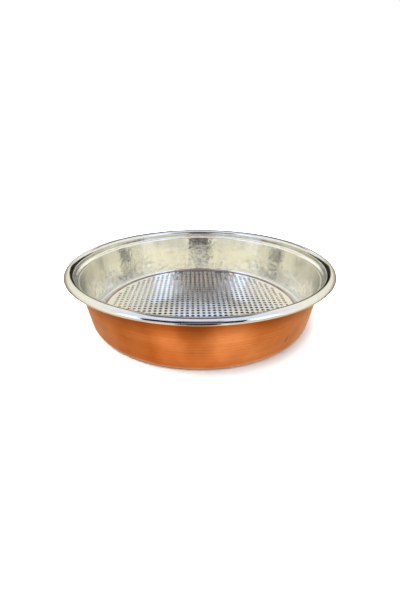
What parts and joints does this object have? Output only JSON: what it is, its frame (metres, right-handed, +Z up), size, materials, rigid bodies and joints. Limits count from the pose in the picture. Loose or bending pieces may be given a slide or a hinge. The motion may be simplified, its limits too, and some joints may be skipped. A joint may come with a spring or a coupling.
{
  "type": "strainer pan",
  "caption": "Round, shallow copper strainer pan with a tinned inside, a polished rolled rim and a flat perforated floor held by a bead ring.",
  "frame": {"origin": "centre of the resting face, under the pan", "axes": "+Z up along the pan's axis of turning; the pan is round, so +X and +Y are free, and the hole grid is turned 1.3 degrees from them"},
  "size_m": [0.28, 0.28, 0.0605],
  "materials": {
    "copper": "bare spun copper, fine turned lines",
    "wiped_tin": "hot-wiped tin, soft sheen, lightly dimpled",
    "polished_rim": "mirror-polished tinned sheet",
    "tinned_plate": "polished tinned perforated sheet",
    "polished_ring": "polished tinned bead"
  },
  "bodies": {
    "root": {"copper_pan": "copper", "tinned_liner": "wiped_tin", "rolled_rim": "polished_rim", "strainer_plate": "tinned_plate", "bead_ring": "polished_ring"}
  },
  "joints": []
}
